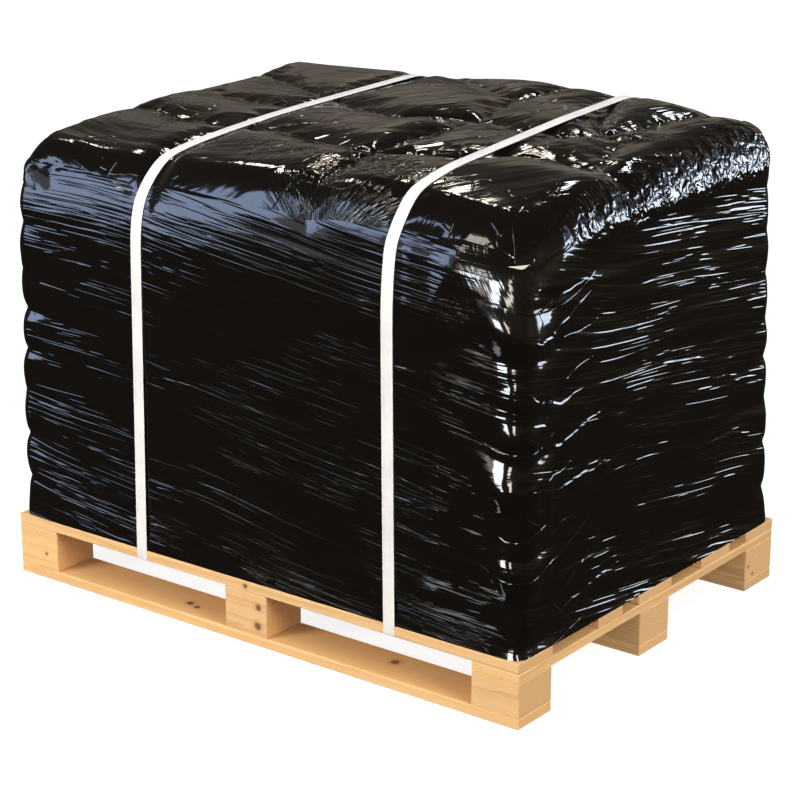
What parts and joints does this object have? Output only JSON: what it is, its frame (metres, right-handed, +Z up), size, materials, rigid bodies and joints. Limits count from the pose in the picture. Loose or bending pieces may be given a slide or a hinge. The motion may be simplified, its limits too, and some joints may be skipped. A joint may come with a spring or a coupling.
{
  "type": "pallet of sacks",
  "caption": "Wooden block pallet loaded with layers of sacks, wrapped in glossy black stretch film and tied with white straps.",
  "frame": {"origin": "on the floor, under the middle of the pallet", "axes": "+X along the pallet's length, +Y across its width to the far long side, +Z up"},
  "size_m": [1.2, 0.878, 0.9381],
  "materials": {
    "pine_wood": "sawn, unpainted",
    "sack_cloth": "woven sack cloth",
    "stretch_film": "glossy black film",
    "strapping_band": "smooth white band"
  },
  "bodies": {
    "root": {"block_left_near": "pine_wood", "block_left_middle": "pine_wood", "block_left_far": "pine_wood", "block_middle_near": "pine_wood", "block_middle_middle": "pine_wood", "block_middle_far": "pine_wood", "block_right_near": "pine_wood", "block_right_middle": "pine_wood", "block_right_far": "pine_wood", "bottom_board_near": "pine_wood", "bottom_board_middle": "pine_wood", "bottom_board_far": "pine_wood", "cross_board_left": "pine_wood", "cross_board_middle": "pine_wood", "cross_board_right": "pine_wood", "deck_board_1": "pine_wood", "deck_board_2": "pine_wood", "deck_board_3": "pine_wood", "deck_board_4": "pine_wood", "deck_board_5": "pine_wood", "sack_layer_1": "sack_cloth", "sack_layer_2": "sack_cloth", "sack_layer_3": "sack_cloth", "sack_layer_4": "sack_cloth", "sack_layer_5": "sack_cloth", "sack_layer_6": "sack_cloth", "sack_layer_7": "sack_cloth", "sack_layer_8": "sack_cloth", "sack_layer_9": "sack_cloth", "stretch_film": "stretch_film", "strap_left": "strapping_band", "strap_right": "strapping_band"}
  },
  "joints": []
}
